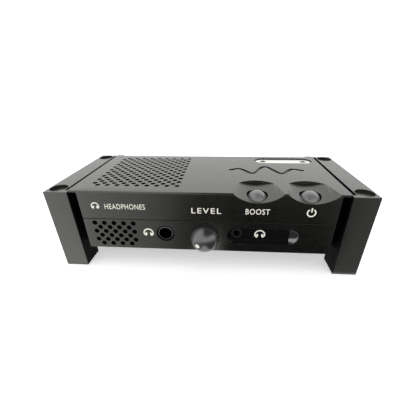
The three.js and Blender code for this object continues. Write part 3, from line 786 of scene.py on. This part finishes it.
def make_phono(name, x):
    at = (x, SOCKET_Z)
    shell = join(
        box(x - PHONO_BODY, x + PHONO_BODY, SOCKET_FRONT, PANEL_FRONT - GAP,
            BOARD_TOP + GAP, SOCKET_Z + PHONO_BODY),
        turned("y", at, [(54.5, PHONO_RADIUS), (DEPTH - 0.4, PHONO_RADIUS), (DEPTH, PHONO_RADIUS - 0.35)]),
        rod("y", PHONO_NUT, PANEL_REAR + GAP, PANEL_REAR + GAP + 1, at, edge=0.15, sides=6),
    )
    floor = DEPTH - PHONO_DEPTH
    cut(shell, drill("y", PHONO_BORE, floor, DEPTH, at, sides=48))
    add_piece(f"phono_shell_{name}", shell, "gold_plate", stands_for=[f"phono_{name}"])
    flange, tube, tip = floor + 1.1, 1.8, DEPTH - 0.9
    insulator = turned("y", at, [
        (floor + 0.1, PHONO_BORE - 0.1), (flange - 0.2, PHONO_BORE - 0.1), (flange, PHONO_BORE - 0.3),
        (flange, tube), (tip - 0.3, tube), (tip, tube - 0.3), (tip, 0)])
    cut(insulator, rod("y", tube / 2, flange - 0.1, DEPTH + 1, at, sides=24))
    colour = "white_plastic" if name.endswith("left") else "red_plastic"
    add_piece(f"phono_insulator_{name}", insulator, colour)


def make_speaker(name, x):
    at = (x, SOCKET_Z)
    front, seat, rim = 46, PANEL_REAR + GAP, 59.2
    bushing = turned("y", at, [
        (front, 0), (front, SPEAKER_RADIUS), (seat, SPEAKER_RADIUS), (seat, SPEAKER_FLANGE),
        (rim - 0.2, SPEAKER_FLANGE), (rim, SPEAKER_FLANGE - 0.2), (rim, SPEAKER_RADIUS),
        (SPEAKER_REAR - 0.3, SPEAKER_RADIUS), (SPEAKER_REAR, SPEAKER_RADIUS - 0.3), (SPEAKER_REAR, 0)])
    bore_end = front + 3
    cut(bushing, drill("y", SPEAKER_BORE, bore_end, SPEAKER_REAR, at, sides=48))
    colour = "red_plastic" if name.endswith("plus") else "black_plastic"
    add_piece(f"speaker_bushing_{name}", bushing, colour, stands_for=[f"speaker_{name}"])
    liner = turned("y", at, [
        (bore_end + 0.1, SPEAKER_BORE - 0.05), (SPEAKER_REAR - 0.4, SPEAKER_BORE - 0.05),
        (SPEAKER_REAR - 0.2, SPEAKER_BORE - 0.2)])
    cut(liner, rod("y", SPEAKER_BORE - 0.4, bore_end + 1, DEPTH + 1, at))
    add_piece(f"speaker_liner_{name}", liner, "gold_plate")


def make_power_socket():
    at = (POWER_X, SOCKET_Z)
    half_x, half_z = POWER_HALF
    shell = join(
        box(POWER_X - half_x, POWER_X + half_x, SOCKET_FRONT, PANEL_FRONT - GAP,
            SOCKET_Z - half_z, SOCKET_Z + half_z),
        rod("y", POWER_RADIUS, PANEL_FRONT - 1, PANEL_REAR + 1.2, at, edge=0.2),
    )
    cut(shell, rod("y", POWER_BORE, SOCKET_FRONT + 2, DEPTH, at))
    add_piece("power_socket_shell", shell, "black_plastic", stands_for=["power_socket"])
    front, radius = SOCKET_FRONT + 1.5, 1
    pin = turned("y", at, [(front, 0), (front, radius), (PANEL_REAR - 0.5, radius),
                           (PANEL_REAR, radius / 2), (PANEL_REAR, 0)])
    add_piece("power_socket_pin", pin, "nickel")


# ---------------------------------------------------------------- printed marks

def ink(name, first, *others):
    """Prints one mark from overlapping shapes."""
    add_piece(name, join(first, *others), "label_ink")


def stamp(outline, level=0.0):
    """One printed shape on the front face, or on a face `level` behind it."""
    return prism("y", lambda inset: outline, (level - INK_HEIGHT, 0), (level + 0.01, 0))


def stroke_arc(x, z, radius, width, start, end):
    """Outline of a curved stroke of even width."""
    return arc(x, z, radius + width / 2, start, end, 32) + arc(x, z, radius - width / 2, end, start, 32)


def ellipse(x, z, half_x, half_z, lean):
    """Oval outline leaning by `lean` degrees."""
    cos, sin = math.cos(math.radians(lean)), math.sin(math.radians(lean))
    return [(x + half_x * a * cos - half_z * b * sin, z + half_x * a * sin + half_z * b * cos)
            for a, b in arc(0, 0, 1, 0, 345, 23)]


def headphone_mark(name, x, z, size, level=0.0):
    """Generic headphones: a band over two ear cups, `size` wide."""
    radius = 0.42 * size
    ink(
        name,
        stamp(stroke_arc(x, z, radius, 0.12 * size, -28, 208), level),
        *[stamp(ellipse(x + side * 0.24 * size, z - 0.13 * size, 0.1 * size, 0.2 * size, side * 16), level)
          for side in SIDES.values()],
    )


def power_mark(x, z):
    """Generic power symbol: an open ring with a bar in its gap."""
    ink(
        "power_mark",
        stamp(stroke_arc(x, z, 1.9, 0.6, 122, 418)),
        stamp([(x - 0.3, z + 0.3), (x + 0.3, z + 0.3), (x + 0.3, z + 2.6), (x - 0.3, z + 2.6)]),
    )


def word_mark(name, word, x, z, width, height, spacing, weight=0.0):
    """A plain word, centred on x and z and stretched to `width` and `height`."""
    curve = bpy.data.curves.new(name, "FONT")
    curve.body = word
    curve.extrude = 0.01
    curve.offset = weight
    curve.space_character = spacing
    curve.resolution_u = 6
    source = bpy.data.objects.new(name, curve)
    mesh = bpy.data.meshes.new_from_object(source)
    bpy.data.objects.remove(source)
    low = [min(v.co[i] for v in mesh.vertices) for i in range(3)]
    high = [max(v.co[i] for v in mesh.vertices) for i in range(3)]
    for vertex in mesh.vertices:
        a, b, c = [(vertex.co[i] - low[i]) / (high[i] - low[i]) for i in range(3)]
        vertex.co = (x + (a - 0.5) * width, 0.01 - c * (INK_HEIGHT + 0.01), z + (b - 0.5) * height)
    mesh.flip_normals()
    made = bpy.data.objects.new(name, mesh)
    bpy.context.scene.collection.objects.link(made)
    add_piece(name, made, "label_ink")


def make_marks():
    headphone_mark("headphone_mark_upper", -54.9, 38.2, 4.4)
    word_mark("word_mark_left", "HEADPHONES", -39.8, 38.2, 20.4, 2.9, spacing=1.1)
    word_mark("word_mark_knob", "LEVEL", 0.6, 36.9, 14.5, 3, spacing=1.25, weight=0.006)
    word_mark("word_mark_gain", "BOOST", 25.3, 37, 11.5, 3, spacing=1.15, weight=0.004)
    power_mark(50.4, 37)
    headphone_mark("headphone_mark_socket", -29.6, 23.2, 5.6)
    headphone_mark("headphone_mark_recess", 27.7, 22.6, 5.8, RECESS_DEPTH)


# ---------------------------------------------------------------- underside screws

def make_case_screw(name, x, y):
    low, edge = CASE_BOTTOM + GAP, 0.3
    screw = turned("z", (x, y), [
        (low, 0), (low, SCREW_HEAD - edge), (low + edge, SCREW_HEAD), (SCREW_SEAT, SCREW_HEAD),
        (SCREW_SEAT, SCREW_SHANK), (SCREW_TOP, SCREW_SHANK), (SCREW_TOP, 0)])
    cut(screw, turned("z", (x, y), [(low - 1, SCREW_KEY), (SCREW_SEAT - 0.8, SCREW_KEY)], sides=6))
    add_piece(f"case_screw_socket_{name}", screw, "black_steel", stands_for=[f"case_screw_{name}"])


# ---------------------------------------------------------------- carried-over CAD nodes

def finish_cad_nodes():
    """Gives every CAD node the procedural material of its record slot. The inner nodes stay as they are,
    and the fine pieces replace the outer ones."""
    for part in frame["record"]["subparts"]:
        node = frame["nodes"][part["node"]]
        node.data.materials.clear()
        node.data.materials.append(finishes_and_painted_light[part["material_slot"]])


# ---------------------------------------------------------------- stage, light and camera

def make_floor():
    """Plain pale floor with a faint glow of its own, which keeps it near white."""
    bm = bmesh.new()
    bmesh.ops.create_grid(bm, x_segments=1, y_segments=1, size=6)
    floor = mesh_object(bm)
    floor.name = "floor"
    floor.data.materials.append(surface("floor", grey(0.88), grey(0.9), (0.8, 0.9), cloud=0.3, bump=0,
                                        Emission_Color=(1, 1, 1, 1), Emission_Strength=FLOOR_GLOW))


def make_world():
    """White surroundings, brighter behind the object than in front of it."""
    world = bpy.data.worlds.new("studio")
    world.use_nodes = True
    nodes = world.node_tree.nodes
    links = world.node_tree.links
    direction = nodes.new("ShaderNodeTexCoord")
    split = nodes.new("ShaderNodeSeparateXYZ")
    links.new(direction.outputs["Generated"], split.inputs["Vector"])
    ramp = nodes.new("ShaderNodeMapRange")
    ramp.inputs["From Min"].default_value = -1
    ramp.inputs["To Min"].default_value = WORLD_FRONT
    ramp.inputs["To Max"].default_value = WORLD_BACK
    links.new(split.outputs["Y"], ramp.inputs["Value"])
    links.new(ramp.outputs["Result"], nodes["Background"].inputs["Strength"])
    nodes["Background"].inputs["Color"].default_value = (1, 1, 1, 1)
    bpy.context.scene.world = world
    bpy.context.scene.view_settings.view_transform = "Standard"


def make_card(name, corners):
    """Black card that only reflections see. Returns its node tree and the node that gives its glow."""
    bm = bmesh.new()
    bm.faces.new([bm.verts.new(corner) for corner in corners])
    card = mesh_object(bm)
    card.name = name
    card.data.transform(TO_SCENE)
    made = bpy.data.materials.new(name)
    made.use_nodes = True
    tree = made.node_tree
    tree.nodes.remove(tree.nodes["Principled BSDF"])
    glow = tree.nodes.new("ShaderNodeEmission")
    glow.inputs["Strength"].default_value = 0
    tree.links.new(glow.outputs["Emission"], tree.nodes["Material Output"].inputs["Surface"])
    card.data.materials.append(made)
    card.visible_camera = False
    card.visible_diffuse = False
    card.visible_shadow = False
    card.visible_transmission = False
    return tree, glow


def fan_brightness(tree, glow, stops):
    """Gives a card on the table the brightness that each x of the front face mirrors.

    A point of the card is mirrored where the line from it to the camera crosses the face, so the x of the
    face is found from the point's angle about the camera.
    """
    def calculate(operation, first, second):
        """Output of a math node; each input is a plain number or another node's output."""
        node = tree.nodes.new("ShaderNodeMath")
        node.operation = operation
        for socket, value in zip(node.inputs, (first, second)):
            if isinstance(value, float):
                socket.default_value = value
            else:
                tree.links.new(value, socket)
        return node.outputs["Value"]

    place = tree.nodes.new("ShaderNodeTexCoord")
    split = tree.nodes.new("ShaderNodeSeparateXYZ")
    tree.links.new(place.outputs["Object"], split.inputs["Vector"])
    across = calculate("SUBTRACT", split.outputs["X"], CAMERA[0] * MM)
    away = calculate("SUBTRACT", (FRONT_Y - CAMERA[1]) * MM, split.outputs["Y"])
    angle = calculate("DIVIDE", across, away)
    reach = tree.nodes.new("ShaderNodeMapRange")
    first, last = stops[0][0], stops[-1][0]
    reach.inputs["From Min"].default_value = (first - CAMERA[0]) / -CAMERA[1]
    reach.inputs["From Max"].default_value = (last - CAMERA[0]) / -CAMERA[1]
    tree.links.new(angle, reach.inputs["Value"])
    levels = tree.nodes.new("ShaderNodeFloatCurve")
    points = levels.mapping.curves[0].points
    points[0].location = (0, stops[0][1])
    points[-1].location = (1, stops[-1][1])
    for x, level in stops[1:-1]:
        points.new((x - first) / (last - first), level)
    for point in points:
        point.handle_type = "VECTOR"
    levels.mapping.update()
    tree.links.new(reach.outputs["Result"], levels.inputs["Value"])
    tree.links.new(calculate("MULTIPLY", levels.outputs["Value"], BRIGHTEST_CARD), glow.inputs["Strength"])


def make_cards():
    """The front face mirrors the table card, whose notch leaves the pale floor bare below the knob. The
    knob's upper side mirrors the overhead card."""
    near, far, wide, lift = -1, -320, 400, 0.5
    notch = [(8, near), (6, -34), (-7, -34), (-9, near)]
    plan = [(-wide, far), (wide, far), (wide, near), *notch, (-wide, near)]
    tree, glow = make_card("table_card", [(x, y, lift) for x, y in plan])
    fan_brightness(tree, glow, [
        (-90, 1), (-66, 1), (-64, 0.7), (-54, 0.66), (-41, 0.56), (-28, 0.44), (-16, 0.22),
        (-10, 0.1), (-6, 0), (66, 0), (68, 0.24), (100, 0.28)])
    make_card("overhead_card", [(-10, -110, 105), (70, -110, 105), (420, 25, 190), (-30, 25, 190)])


def make_camera():
    camera = bpy.data.cameras.new("camera")
    camera.lens = CAMERA_LENS
    camera.sensor_width = 36
    camera.clip_start = 0.01
    holder = bpy.data.objects.new("camera", camera)
    holder.location = TO_SCENE @ Vector(CAMERA)
    holder.rotation_euler = CAMERA_TURN
    bpy.context.scene.collection.objects.link(holder)
    bpy.context.scene.camera = holder


# ---------------------------------------------------------------- the scene

make_camera()
make_floor()
make_world()
make_cards()
finish_cad_nodes()
make_top_cover()
make_bottom_case()
for side_name, side in SIDES.items():
    make_cheek(side_name, side)
    for end_name, y in SCREW_YS.items():
        make_case_screw(f"{end_name}_{side_name}", side * SCREW_X, y)
make_badge()
make_knob()
make_knob_dot()
for name, x in BALL_X.items():
    make_button(name, x)
make_large_socket()
make_small_socket()
make_rear_panel()
for name, x in PHONO_X.items():
    make_phono(name, x)
for name, x in SPEAKER_X.items():
    make_speaker(name, x)
make_power_socket()
make_marks()
